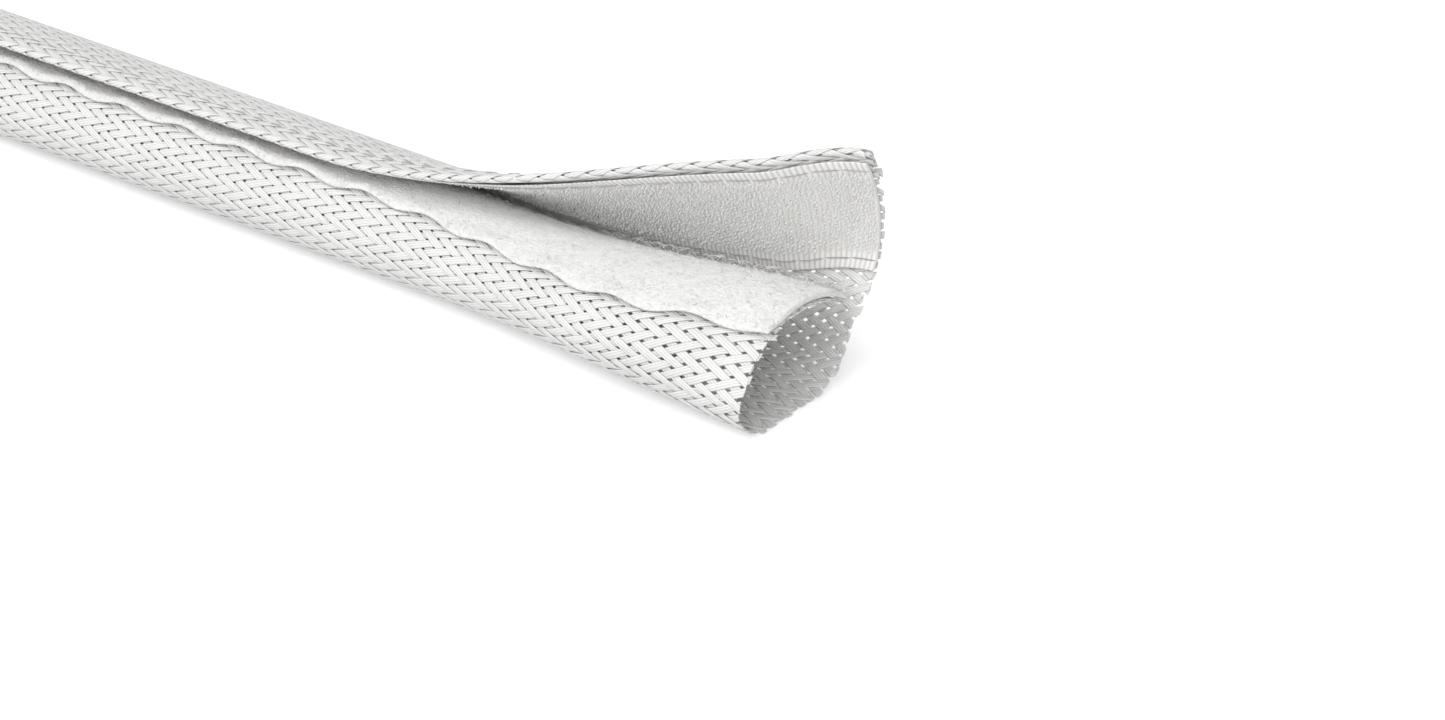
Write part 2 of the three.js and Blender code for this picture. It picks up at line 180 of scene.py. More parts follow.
# %% A small helper for building trees
class Tree:
    """A geometry node tree with named inputs, built node by node."""

    def __init__(self, name, inputs=()):
        self.tree = bpy.data.node_groups.new(name, "GeometryNodeTree")
        new = self.tree.interface.new_socket
        new("Geometry", in_out="INPUT", socket_type="NodeSocketGeometry")
        for label, kind, value in inputs:
            socket = new(label, in_out="INPUT", socket_type="NodeSocket" + kind)
            if value is not None:
                socket.default_value = value
        new("Geometry", in_out="OUTPUT", socket_type="NodeSocketGeometry")
        self.inputs = self.tree.nodes.new("NodeGroupInput").outputs

    def add(self, kind, values=None, **settings):
        """A node, with its settings, and a value or a link for each named or numbered socket."""
        node = self.tree.nodes.new(kind)
        for key, value in settings.items():
            setattr(node, key, value)
        for key, value in (values or {}).items():
            socket = node.inputs[key]
            if isinstance(value, bpy.types.NodeSocket):
                self.tree.links.new(value, socket)
            else:
                socket.default_value = value
        return node.outputs

    def math(self, operation, a, b=0.0, c=0.0):
        return self.add("ShaderNodeMath", {0: a, 1: b, 2: c}, operation=operation)[0]

    def vector(self, x, y, z):
        return self.add("ShaderNodeCombineXYZ", {0: x, 1: y, 2: z})[0]

    def add_vectors(self, a, b):
        return self.add("ShaderNodeVectorMath", {0: a, 1: b}, operation="ADD")[0]

    def scaled(self, vector, factor):
        return self.add("ShaderNodeVectorMath", {0: vector, "Scale": factor}, operation="SCALE")[0]

    def here(self):
        return self.add("GeometryNodeInputPosition")[0]

    def parts(self, vector):
        return self.add("ShaderNodeSeparateXYZ", {0: vector})

    def span(self, value, low, high, to_low=0.0, to_high=1.0, clamp=True):
        """The value's place between low and high, as a number between the other two."""
        return self.add("ShaderNodeMapRange", {0: value, 1: low, 2: high, 3: to_low, 4: to_high},
                        clamp=clamp)[0]

    def between(self, low, high, seed, kind="FLOAT"):
        """A random number or vector for each element."""
        node = self.tree.nodes.new("FunctionNodeRandomValue")
        node.data_type = kind
        for socket in [s for s in node.inputs if s.enabled]:
            if socket.name in ("Min", "Max"):
                socket.default_value = low if socket.name == "Min" else high
            elif socket.name == "Seed":
                socket.default_value = seed
        return [s for s in node.outputs if s.enabled][0]

    def stored(self, name, kind="FLOAT"):
        node = self.tree.nodes.new("GeometryNodeInputNamedAttribute")
        node.data_type = kind
        node.inputs["Name"].default_value = name
        return [s for s in node.outputs if s.enabled][0]

    def store(self, geometry, name, value, kind="FLOAT"):
        node = self.tree.nodes.new("GeometryNodeStoreNamedAttribute")
        node.data_type, node.domain = kind, "POINT"
        node.inputs["Name"].default_value = name
        self.tree.links.new(geometry, node.inputs["Geometry"])
        self.tree.links.new(value, [s for s in node.inputs if s.enabled and s.name == "Value"][0])
        return node.outputs[0]

    def close(self, geometry):
        self.tree.links.new(geometry, self.tree.nodes.new("NodeGroupOutput").inputs[0])
        return self.tree

    def finish(self, geometry, material):
        """Lays the flat geometry on the cloth and makes it real, with its material."""
        laid = self.add("GeometryNodeGroup", {
            "Geometry": geometry, "Cloth": self.inputs["Cloth"], "Pucker": self.inputs["Pucker"],
        }, node_tree=lay_on_cloth)[0]
        smooth = self.add("GeometryNodeSetShadeSmooth", {0: laid})[0]
        real = self.add("GeometryNodeRealizeInstances", {0: smooth})[0]
        return self.close(self.add("GeometryNodeSetMaterial", {0: real, "Material": material})[0])


CLOTH_INPUTS = (("Cloth", "Object", None), ("Pucker", "Float", 0.0))

# %% The group itself
WAVE = 13.2         # length of one pucker of the lip
SCALLOP = 0.75      # its height
SWAY = -0.42        # its crest's shift along y, as a share of the height: away from the base line
TO_FORM = {"u": (STATIONS[0] * MM, STATIONS[-1] * MM), "v": (COLUMNS[0] * MM, COLUMNS[-1] * MM)}


def make_lay_on_cloth():
    t = Tree("lay_on_cloth", CLOTH_INPUTS)
    real = t.add("GeometryNodeRealizeInstances", {0: t.inputs["Geometry"]})[0]
    x, y, z = t.parts(t.here())
    wave = t.math("COSINE", t.math("MULTIPLY", x, 2 * math.pi / (WAVE * MM)))
    ramp = t.span(y, (LIP_Q - SELVEDGE) * MM, LIP_Q * MM)
    size = t.math("MULTIPLY", ramp, t.inputs["Pucker"])
    z = t.math("MULTIPLY_ADD", t.math("MULTIPLY_ADD", wave, 0.5, 0.5), size, z)
    y = t.math("MULTIPLY_ADD", t.math("MULTIPLY", wave, SWAY), size, y)
    u = t.span(x, *TO_FORM["u"], clamp=False)
    v = t.span(y, *TO_FORM["v"], clamp=False)
    form = t.add("GeometryNodeObjectInfo", {"Object": t.inputs["Cloth"]})["Geometry"]

    def sample(value):
        node = t.tree.nodes.new("GeometryNodeSampleUVSurface")
        node.data_type = "FLOAT_VECTOR"
        plan = t.stored("plan", "FLOAT_VECTOR")
        sockets = [s for s in node.inputs if s.enabled]
        for socket, source in zip(sockets, (form, value, plan, t.vector(u, v, 0.0))):
            t.tree.links.new(source, socket)
        return [s for s in node.outputs if s.enabled][0]

    away = t.scaled(sample(t.stored("outwards", "FLOAT_VECTOR")), z)
    place = t.parts(t.add_vectors(sample(t.here()), away))
    place = t.vector(place[0], place[1], t.math("MAXIMUM", place[2], 0.0))
    moved = t.add("GeometryNodeSetPosition", {"Geometry": real, "Position": place})[0]
    # Around the sleeve and out of it turn the other way than y and z do in the flat drawing
    return t.close(t.add("GeometryNodeFlipFaces", {0: moved})[0])


lay_on_cloth = make_lay_on_cloth()
print("group:", lay_on_cloth.name, len(lay_on_cloth.nodes), "nodes")


# %% Running a tree
def flat_mesh(name, points, edges=(), faces=()):
    """A drawing on the flat cloth, in millimetres."""
    mesh = bpy.data.meshes.new(name + "_plan")
    mesh.from_pydata([tuple(c * MM for c in p) for p in points], list(edges), list(faces))
    return mesh


def grow(name, tree, values, plan, pucker=0.0):
    """Runs the tree on a flat drawing, and keeps the result as a plain mesh object."""
    source = bpy.data.objects.new(name + "_plan", plan)
    bpy.context.scene.collection.objects.link(source)
    modifier = source.modifiers.new("grow", "NODES")
    modifier.node_group = tree
    sockets = {s.name: s.identifier for s in tree.interface.items_tree if s.in_out == "INPUT"}
    for label, value in dict(values, Cloth=cloth_form, Pucker=pucker * MM).items():
        modifier[sockets[label]] = value
    bpy.context.view_layer.update()
    evaluated = source.evaluated_get(bpy.context.evaluated_depsgraph_get())
    mesh = bpy.data.meshes.new_from_object(evaluated)
    source.modifiers.remove(modifier)
    bpy.data.objects.remove(source)
    piece = bpy.data.objects.new(name, mesh)
    mesh.name = name
    bpy.context.scene.collection.objects.link(piece)
    mesh.calc_loop_triangles()
    print(f"{name}: {len(mesh.loop_triangles)} triangles")
    return piece


# %% [markdown]
# ## Finishes
# All the cloth here is the same pale grey white, and it is told apart by its threads: bright flat
# ribbons of filaments, matt white pile, a ribbed tape with stiff plastic hooks. Three effects serve
# more than one finish, so they are node groups: a slow change of tone, the lines of the filaments
# in a ribbon or a thread, and the dust-like grain of short fibres.

# %% A helper for shader nodes
class Nodes:
    """Adds nodes to a material or to a shader group."""

    def __init__(self, tree):
        self.tree = tree

    def add(self, kind, values=None, **settings):
        node = self.tree.nodes.new(kind)
        for key, value in settings.items():
            setattr(node, key, value)
        sockets = [socket for socket in node.inputs if socket.enabled]
        for key, value in (values or {}).items():
            socket = sockets[key] if isinstance(key, int) else node.inputs[key]
            if isinstance(value, bpy.types.NodeSocket):
                self.tree.links.new(value, socket)
            else:
                socket.default_value = value
        if kind == "ShaderNodeMix":
            return [socket for socket in node.outputs if socket.enabled]
        return node.outputs

    def math(self, operation, *values):
        return self.add("ShaderNodeMath", dict(enumerate(values)), operation=operation)[0]

    def mapped(self, value, low, high, to_low=0.0, to_high=1.0):
        """The value's place between low and high, as a number between the other two."""
        return self.add("ShaderNodeMapRange", {
            "Value": value, "From Min": low, "From Max": high, "To Min": to_low, "To Max": to_high})[0]

    def multiplied(self, a, b):
        return self.add("ShaderNodeMix", {0: 1.0, 1: a, 2: b}, data_type="RGBA", blend_type="MULTIPLY")[0]

    def stored(self, name):
        return self.add("ShaderNodeAttribute", attribute_name=name)["Fac"]

    def along(self):
        """Distance along the sleeve in metres, from its middle."""
        return self.add("ShaderNodeSeparateXYZ", {0: self.add("ShaderNodeTexCoord")["Object"]})[0]

    def noise(self, scale, detail=2.0, stretch=(1, 1, 1)):
        place = self.add("ShaderNodeTexCoord")["Object"]
        place = self.add("ShaderNodeMapping", {"Vector": place, "Scale": stretch})[0]
        return self.add("ShaderNodeTexNoise", {"Vector": place, "Scale": scale, "Detail": detail})[0]

    def mixed(self, factor, a, b):
        return self.add("ShaderNodeMix", {0: factor, 1: a, 2: b}, data_type="RGBA")[0]

    def group(self, group, **values):
        named = {key.replace("_", " "): value for key, value in values.items()}
        return self.add("ShaderNodeGroup", named, node_tree=group)[0]


class ShaderGroup(Nodes):
    """A shader node group with named inputs and one output."""

    def __init__(self, name, inputs, output):
        super().__init__(bpy.data.node_groups.new(name, "ShaderNodeTree"))
        for label, kind, value in inputs:
            self.tree.interface.new_socket(
                label, in_out="INPUT", socket_type="NodeSocket" + kind).default_value = value
        self.tree.interface.new_socket(output[0], in_out="OUTPUT", socket_type="NodeSocket" + output[1])
        self.given = self.add("NodeGroupInput")

    def close(self, value):
        self.tree.links.new(value, self.tree.nodes.new("NodeGroupOutput").inputs[0])
        return self.tree


# %% The three effects
def make_tone():
    """Slow change of tone over the cloth."""
    n = ShaderGroup("cloth_tone", [
        ("Colour", "Color", (0.8, 0.8, 0.8, 1)), ("Shade", "Color", (0.7, 0.7, 0.7, 1)),
        ("Patch Size", "Float", 0.012)], ("Colour", "Color"))
    patches = n.noise(n.math("DIVIDE", 1.0, n.given["Patch Size"]), 3.0)
    return n.close(n.mixed(n.mapped(patches, 0.35, 0.75), n.given["Colour"], n.given["Shade"]))


def make_filaments():
    """Lines along a ribbon or thread, from the number that each point keeps of its place across."""
    n = ShaderGroup("filaments", [("Lines", "Float", 4.0), ("Raggedness", "Float", 0.3)],
                    ("Height", "Float"))
    waver = n.math("MULTIPLY", n.math("SUBTRACT", n.noise(420.0, 1.0), 0.5), n.given["Raggedness"])
    turns = n.math("MULTIPLY", n.given["Lines"], math.pi / 2)
    phase = n.math("MULTIPLY", n.math("ADD", n.stored("across"), waver), turns)
    return n.close(n.math("ABSOLUTE", n.math("COSINE", phase)))


def make_fibre_grain():
    """Grain of short fibres lying in all directions."""
    n = ShaderGroup("fibre_grain", [("Size", "Float", 0.0004)], ("Height", "Float"))
    return n.close(n.noise(n.math("DIVIDE", 1.0, n.given["Size"]), 4.0))


cloth_tone, filaments, fibre_grain = make_tone(), make_filaments(), make_fibre_grain()
print("finish groups:", cloth_tone.name, filaments.name, fibre_grain.name)


# %% What every finish starts from
def paint(n, shader, colour):
    n.tree.links.new(colour, shader.inputs["Base Color"])


def bump(n, shader, height, depth):
    out = n.add("ShaderNodeBump", {"Strength": 1.0, "Distance": depth, "Height": height})[0]
    n.tree.links.new(out, shader.inputs["Normal"])


def finish_material(name, colour, shade, roughness, sheen, patch=12 * MM):
    """A cloth finish; the caller adds its bump, and paints it again where it needs more than a tone."""
    material = bpy.data.materials.new(name)
    material.use_nodes = True
    n = Nodes(material.node_tree)
    shader = material.node_tree.nodes["Principled BSDF"]
    shader.inputs["Roughness"].default_value = roughness
    shader.inputs["Sheen Weight"].default_value = sheen
    shader.inputs["Sheen Roughness"].default_value = 0.5
    shader.inputs["Specular IOR Level"].default_value = 0.35
    tone = n.group(cloth_tone, Colour=(*colour, 1), Shade=(*shade, 1), Patch_Size=patch)
    paint(n, shader, tone)
    return n, shader, tone


# %% Braid: painted shade makes the grooves between the filaments a little darker
def make_ribbon_finish():
    n, shader, tone = finish_material(
        "braid_filament", (0.84, 0.84, 0.83), (0.79, 0.79, 0.78), roughness=0.5, sheen=0.1)
    lines = n.group(filaments, Lines=3.0, Raggedness=0.25)
    # Painted shade: the grooves between the filaments are darkened
    paint(n, shader, n.multiplied(tone, n.mapped(lines, 0.0, 0.5, 0.74, 1.0)))
    bump(n, shader, lines, 0.06 * MM)
    return bpy.data.materials["braid_filament"]


# %% Loop pile: painted shade, grey, in the crevice under the hook flap where the sleeve is closed
CLOSED_TO = HOOK_SIDE["from"]           # up to here the hook tape lies on the loop tape
FADE_FROM, FADE_TO = CLOSED_TO - 12, CLOSED_TO + 18
PAINTED_CREVICE_SHADE = (0.62, 0.6, 0.57, 1)


def make_pile_finish():
    n, shader, tone = finish_material(
        "loop_pile_nap", (0.93, 0.93, 0.92), (0.84, 0.84, 0.83), roughness=0.9, sheen=0.3, patch=0.9 * MM)
    middle = LENGTH / 2
    closed = n.mapped(n.along(), (FADE_FROM - middle) * MM, (FADE_TO - middle) * MM, 1.0, 0.0)
    grain = n.group(fibre_grain, Size=0.5 * MM)
    # The grain moves the border of the painted shade to and fro, so that it looks like single fibres
    ragged = n.math("MULTIPLY", n.math("SUBTRACT", grain, 0.5), 2.5)
    inner = n.mapped(n.math("ADD", n.stored("inset"), ragged), 0.7, 3.0)
    # Painted shade: grey in the closed part, away from the tape's edges, where the hook flap lies over it
    paint(n, shader, n.mixed(n.math("MULTIPLY", closed, inner), tone, PAINTED_CREVICE_SHADE))
    bump(n, shader, grain, 0.5 * MM)
    return bpy.data.materials["loop_pile_nap"]


# %% Hook tape: cross ribs, and the smooth stiff thread of the hooks
RIB = 0.77          # pitch of the ribs


def make_hook_ground_finish():
    n, shader, tone = finish_material(
        "hook_ground", (0.93, 0.92, 0.9), (0.87, 0.86, 0.84), roughness=0.6, sheen=0.1, patch=4 * MM)
    from_end = n.math("ADD", n.along(), LENGTH / 2 * MM)
    wave = n.math("COSINE", n.math("MULTIPLY", from_end, 2 * math.pi / (RIB * MM)))
    # The field that the hooks stand in is a little darker than the sewn borders, crests and all
    field = n.mapped(n.stored("inset"), SELVEDGE - 0.6, SELVEDGE)
    crest = n.math("MULTIPLY_ADD", field, -0.08, 1.0)
    # Painted shade: the grooves between the ribs are darker than the crests
    paint(n, shader, n.multiplied(tone, n.mapped(wave, -1.0, 0.2, 0.74, crest)))
    bump(n, shader, n.group(fibre_grain, Size=0.2 * MM), 0.06 * MM)
    return bpy.data.materials["hook_ground"]


def make_hook_finish():
    finish_material("hook_monofilament", (0.94, 0.94, 0.93), (0.9, 0.9, 0.89),
                    roughness=0.22, sheen=0.0, patch=2 * MM)
    return bpy.data.materials["hook_monofilament"]


# %% Thread: grey on the hook tape, white on the pile
def make_thread_finish(name, colour, shade):
    n, shader, _ = finish_material(name, colour, shade, roughness=0.6, sheen=0.1, patch=3 * MM)
    bump(n, shader, n.group(filaments, Lines=3.0, Raggedness=0.4), 0.05 * MM)
    return bpy.data.materials[name]


ribbon_finish, pile_finish, hook_ground_finish, hook_finish = (
    make_ribbon_finish(), make_pile_finish(), make_hook_ground_finish(), make_hook_finish())
grey_thread = make_thread_finish("sewing_thread", (0.6, 0.59, 0.57), (0.5, 0.49, 0.47))
white_thread = make_thread_finish("sewing_thread_white", (0.92, 0.92, 0.91), (0.86, 0.86, 0.85))
print("finishes:", [m.name for m in bpy.data.materials])

# %% [markdown]
# ## The braid
# Two families of flat ribbons cross at 44 degrees. Each goes over two and under two of the other,
# and the change comes at the same height around the tube all along it, so the floats lie in rows of
# arrowheads. Drawn flat, every ribbon is a straight line, and how far it stands out depends only on
# where it is around the cloth. Curve to Mesh sweeps one flat rounded section along all the lines.
# Noise makes the ribbons a little wider and narrower, and a fixed seed makes their cut ends uneven.

# %% Sizes of the weave
PITCH_ALONG, PITCH_AROUND = 3.81, 1.555
CROSSING = 2 * math.atan2(PITCH_AROUND, PITCH_ALONG)
RINGS = [-0.3, 0.5, 1.3, 1.7, 2.5, 3.3]     # rings of one repeat, counted in crossings
REPEATS = range(-16, 17)
FOLD_RINGS, FOLD_MARGIN = 9, 0.1            # closer rings, around the hem's fold
MARGIN_IN = 0.2     # between a ribbon's end and the cloth's long edge
CLOSEST = 0.15      # between a ribbon's end and the next ring
SHORTEST = 0.5      # ribbons below this length are left out
RIBBON = {"Width": 1.21 * MM, "Thickness": 0.16 * MM, "Rise": 0.12 * MM}
LOOSE = 0.45        # share of the fan that a ribbon takes up by widening
SQUARENESS = 0.4    # of the ribbon's section: 1 is an oval, 0 a bar
UNEVEN = 0.12       # how far a cut end may be off, as a share of the pitch
NARROWEST, VARIATION = 0.82, 0.36       # of a ribbon's width along its length
CHANGES_PER_METRE = 260.0
STEEPNESS = 3.0     # how quickly a ribbon passes from over to under
SQUARE_OVER = 4.0   # stretch before a cut end in which the rings turn square
print(f"ribbons cross at {math.degrees(CROSSING):.1f} degrees")


# %% Where the ribbons run
def ribbon_lines(lean):
    """Centre lines of one family on the flat cloth: rings at the crossings and between them."""
    low, high = -NEAR + MARGIN_IN, BRAID_END - MARGIN_IN
    reach = LENGTH / PITCH_ALONG
    rings = np.array(sorted(k + 4 * m for k in RINGS for m in REPEATS)) * PITCH_AROUND / 2
    fold = np.linspace(FAR - FOLD_MARGIN, FAR + FOLD + FOLD_MARGIN, FOLD_RINGS)
    rings = np.concatenate([
        rings[rings < fold[0] - FOLD_MARGIN], fold, rings[rings > fold[-1] + FOLD_MARGIN]])
    cut = np.random.default_rng(7 + lean)
    points, edges = [], []
    for j in range(int(low / PITCH_AROUND - reach) - 2, int(high / PITCH_AROUND + reach) + 3):
        first_cut, last_cut = cut.uniform(-UNEVEN, UNEVEN, 2)
        ends = sorted((PITCH_AROUND * (j + first_cut), PITCH_AROUND * (j + lean * reach + last_cut)))
        start, stop = max(low, ends[0]), min(high, ends[1])
        if stop - start < SHORTEST:
            continue
        inner = rings[(rings > start + CLOSEST) & (rings < stop - CLOSEST)]
        around = np.concatenate([[start], inner, [stop]])[::lean]
        along = lean * PITCH_ALONG * (around / PITCH_AROUND - j)
        first = len(points)
        points += [(float(u), float(v), 0.0) for u, v in zip(along, around)]
        edges += [(first + i, first + i + 1) for i in range(len(around) - 1)]
    return points, edges


# %% Steps of the tree that sweeps the ribbons
def ribbon_section(t):
    """A circle whose slanted points are pushed out, which makes it a flat strip with rounded edges."""
    ring = t.add("GeometryNodeCurvePrimitiveCircle", {"Resolution": 8, "Radius": 1.0})[0]
    for name, side in zip(("across", "standing"), t.parts(t.here())):
        pushed = t.math("POWER", t.math("ABSOLUTE", side), SQUARENESS)
        ring = t.store(ring, name, t.math("MULTIPLY", t.math("SIGN", side), pushed))
    return ring


def ribbon_height(t, y):
    """How far a point of the ribbon at y stands out of the cloth."""
    turn = t.math("MULTIPLY_ADD", y, math.pi / (PITCH_AROUND * MM), -math.pi / 4)
    wave = t.math("MULTIPLY", t.math("COSINE", turn), STEEPNESS)
    wave = t.math("MINIMUM", t.math("MAXIMUM", wave, -1.0), 1.0)
    rise = t.math("MULTIPLY", t.math("MULTIPLY", wave, t.inputs["Rise"]), t.inputs["Lean"])
    stand = t.math("MULTIPLY", t.stored("standing"), t.math("MULTIPLY", t.inputs["Thickness"], 0.5))
    return t.math("ADD", rise, stand)


def ribbon_offset(t, x):
    """Distance of a point from its ribbon's centre line, before the cloth is spread."""
    fan = t.span(x, (LENGTH - SPREAD_OVER) * MM, LENGTH * MM)
    fan = t.math("MULTIPLY", t.math("MULTIPLY", fan, fan), t.math("MULTIPLY_ADD", fan, -2.0, 3.0))
    fan = t.math("MULTIPLY_ADD", fan, SPREAD - 1, 1.0)
    tight = t.math("MULTIPLY_ADD", t.math("SUBTRACT", fan, 1.0), 1 - LOOSE, 1.0)
    uneven = t.add("ShaderNodeTexNoise", {
        "Vector": t.stored("centre", "FLOAT_VECTOR"), "Scale": CHANGES_PER_METRE, "Detail": 1.0})[0]
    uneven = t.math("MULTIPLY_ADD", uneven, VARIATION, NARROWEST)
    half = t.math("MULTIPLY", t.math("MULTIPLY", t.inputs["Width"], 0.5), uneven)
    return t.math("MULTIPLY", t.stored("across"), t.math("DIVIDE", half, tight))


# %% The tree that sweeps the ribbons
def make_ribbon_tree():
    t = Tree("braid_ribbons", CLOTH_INPUTS + (
        ("Width", "Float", RIBBON["Width"]), ("Thickness", "Float", RIBBON["Thickness"]),
        ("Rise", "Float", RIBBON["Rise"]), ("Lean", "Float", 1.0)))
    line = t.add("GeometryNodeMeshToCurve", {"Mesh": t.inputs["Geometry"]})[0]
    line = t.store(line, "centre", t.here(), "FLOAT_VECTOR")
    swept = t.add("GeometryNodeCurveToMesh", {
        "Curve": line, "Profile Curve": ribbon_section(t), "Fill Caps": True})[0]

    x, y, _ = t.parts(t.stored("centre", "FLOAT_VECTOR"))
    w = ribbon_offset(t, x)
    # Along the middle a ring lies parallel to the ribbons that it crosses, at a cut end it is square
    lie = CROSSING / 2
    to_end = t.math("MINIMUM", x, t.math("SUBTRACT", LENGTH * MM, x))
    inner = t.span(to_end, 0.0, SQUARE_OVER * MM)
    shear = t.span(inner, 0.0, 1.0, math.tan(lie), -1 / math.tan(CROSSING))
    d = t.math("MULTIPLY", w, shear)
    along = t.math("MULTIPLY_ADD", d, math.cos(lie), t.math("MULTIPLY", w, -math.sin(lie)))
    along = t.math("MULTIPLY_ADD", along, t.inputs["Lean"], x)
    around = t.math("MULTIPLY_ADD", d, math.sin(lie), t.math("MULTIPLY_ADD", w, math.cos(lie), y))
    flat = t.vector(along, around, ribbon_height(t, y))
    placed = t.add("GeometryNodeSetPosition", {"Geometry": swept, "Position": flat})[0]
    return t.finish(placed, ribbon_finish)


ribbon_tree = make_ribbon_tree()
braid = []
for name, lean in (("braid_ribbons_rising", 1), ("braid_ribbons_falling", -1)):
    points, edges = ribbon_lines(lean)
    braid.append(grow(name, ribbon_tree, dict(RIBBON, Lean=float(lean)), flat_mesh(name, points, edges)))


# %% [markdown]
# ## The two tapes
# Both are woven strips, sewn on along their edges. A strip is a closed slab: its top follows a small
# height function, so that the hook tape gets its cross ribs and the loop tape its raised nap. The
# loops and hooks themselves come after this, one small shape for each.

# %% Levels above the middle of the cloth, in millimetres
UNDER = WALL / 2 + CLEAR
GROUND_TOP = UNDER + GROUND
PILE_TOP = UNDER + PILE


def slab(name, along, around, top, under):
    """A closed strip, drawn flat: top(x, t) and under(x, t) are its two faces.

    Each point keeps its inset, the distance in millimetres from the strip's nearer long edge."""
    n, m = len(along), len(around)
    x, t = np.meshgrid(along, around, indexing="ij")
    layers = [np.stack([x, t, face(x, t)], -1).reshape(-1, 3) for face in (top, under)]
    grid = np.arange(n * m).reshape(n, m)
    quads = np.stack([grid[:-1, :-1], grid[1:, :-1], grid[1:, 1:], grid[:-1, 1:]], -1).reshape(-1, 4)
    faces = quads.tolist() + (quads[:, ::-1] + n * m).tolist()
    rim = np.concatenate([grid[:, 0], grid[-1, 1:], grid[-2::-1, -1], grid[0, -2:0:-1]]).tolist()
    faces += [[b, a, a + n * m, b + n * m] for a, b in zip(rim, rim[1:] + rim[:1])]
    mesh = flat_mesh(name, np.concatenate(layers).tolist(), faces=faces)
    inset = np.minimum(t - around[0], around[-1] - t).ravel()
    mesh.attributes.new("inset", "FLOAT", "POINT").data.foreach_set("value", np.tile(inset, 2))
    return mesh


def make_slab_tree(name, material):
    t = Tree(name, CLOTH_INPUTS)
    return t.finish(t.inputs["Geometry"], material)


# %% Shapes that the nap is built from
HILL_WAVES = 24
HILL_LEVEL = 4.9    # about the root of the number of waves: it brings their sum back to about one


def smooth_noise(x, t, cell, seed):
    """Soft random hills of about one, with the given size in millimetres."""
    r = np.random.default_rng(seed)
    total = np.zeros_like(x)
    for _ in range(HILL_WAVES):
        angle, phase = r.uniform(0, 2 * math.pi, 2)
        length = cell * r.uniform(0.8, 2.2)
        total += np.cos(2 * math.pi * (x * math.cos(angle) + t * math.sin(angle)) / length + phase)
    return total / HILL_LEVEL


def rounded(t, low, high, width):
    """1 between low and high, falling to 0 over the width at each side."""
    inwards = np.clip(np.minimum(t - low, high - t) / width, 0, 1)
    return np.sqrt(np.clip(1 - (1 - inwards) ** 2, 0, 1))


# %% The loop tape, with a soft roll along its lip
BACKING = 0.15                          # the woven strip that carries the nap
NAP = PILE - 0.25                       # the nap's height over it, below the tips of the loops
TUFT = 0.05                             # height of its hills, which come in two sizes
SOFT_BORDER = 1.6                       # width over which it rounds off
PRESS, ROLL = 0.38, 0.2                 # how far it is pressed down, and its lip pushed up
RISEN, RISING_OVER = CLOSED_TO + 25, 30     # where the hooks have let go of it
LIP_ROLL = 0.8                          # the roll's place and width


def loop_top(x, t):
    """The nap's surface: soft at its borders, and pressed down where the hook tape lies on it."""
    from_lip = LIP_Q - t
    nap = rounded(from_lip, -0.01, TAPE - 0.2, SOFT_BORDER)
    tufts = TUFT * smooth_noise(x, t, 0.9, 3) + TUFT * smooth_noise(x, t, 2.4, 5)
    closed = np.clip((RISEN - x) / RISING_OVER, 0, 1)
    pressed = closed * np.clip((from_lip - 0.9) / 2.0, 0, 1)
    roll = closed * np.exp(-((from_lip - LIP_ROLL) / LIP_ROLL) ** 2)
    return UNDER + BACKING + nap * (NAP + tufts - PRESS * pressed + ROLL * roll)


loop_nap = grow("loop_tape_nap", make_slab_tree("loop_tape_strip", pile_finish), {}, slab(
    "loop_tape_nap", np.linspace(0, LENGTH, 451),
    LIP_Q - np.concatenate([
        np.linspace(0, 2, 8), np.linspace(2.5, TAPE - 1, 34), [TAPE - 0.5, TAPE - 0.2, TAPE]])[::-1],
    loop_top, lambda x, t: UNDER + 0 * x), pucker=SCALLOP)

# %% The hook tape's ribbed ground
RIB_HEIGHT, THINNING = 0.08, 0.12
HOOK_FACE = -GROUND_TOP + 0.06      # level of the tape's inner face, without its ribs


def hook_under(x, t):
    """The tape's inner face: cross ribs that end before the edges, where the tape is thinner."""
    from_edge = np.minimum(t - HOOK_Q, HOOK_Q + TAPE - t)
    ribs = RIB_HEIGHT * np.cos(2 * math.pi * x / RIB) * np.clip(from_edge / 0.3, 0, 1)
    return HOOK_FACE - ribs + THINNING * np.clip(1 - from_edge / 0.5, 0, 1)


hook_ground = grow("hook_tape_ground", make_slab_tree("hook_tape_strip", hook_ground_finish), {}, slab(
    "hook_tape_ground", np.linspace(0, LENGTH, 1299),
    HOOK_Q + np.array([0, 0.15, 0.4, 2, 5, 8.5, 12, 15.5, 18, TAPE - 0.4, TAPE - 0.15, TAPE]),
    lambda x, t: -UNDER + 0 * x, hook_under))


# %% [markdown]
# ## Loops and hooks
# A loop is a thin arc of fibre that starts and ends in the ground. Thousands of them, tipped and
# turned at random from a fixed seed, stand out of the nap. A hook is a short J of stiff thread, and
# hooks stand in rows along the ribs. Both are one small curve, placed on points and made real.

# %% Trees for the loops and the hooks
def make_loop_tree():
    t = Tree("pile_loops", CLOTH_INPUTS + (
        ("Radius", "Float", 0.4 * MM), ("Thread", "Float", 0.03 * MM), ("Turn", "Float", 4.0),
        ("Count", "Float", 1.0), ("Seed", "Int", 1)))
    spots = t.add("GeometryNodeDistributePointsOnFaces", {
        "Mesh": t.inputs["Geometry"], "Density": t.inputs["Count"], "Seed": t.inputs["Seed"]})["Points"]
    arc = t.add("GeometryNodeCurveArc", {
        "Resolution": 6, "Radius": t.inputs["Radius"], "Sweep Angle": t.inputs["Turn"]})[0]
    ring = t.add("GeometryNodeCurvePrimitiveCircle", {"Resolution": 3, "Radius": t.inputs["Thread"]})[0]
    loop = t.add("GeometryNodeCurveToMesh", {"Curve": arc, "Profile Curve": ring, "Fill Caps": True})[0]
    turn = t.between((0.6, -0.9, 0.0), (2.4, 0.9, 6.28), 11, "FLOAT_VECTOR")
    size = t.between(0.55, 1.25, 12)
    placed = t.add("GeometryNodeInstanceOnPoints", {
        "Points": spots, "Instance": loop, "Rotation": turn, "Scale": size})[0]
    return t.finish(placed, pile_finish)


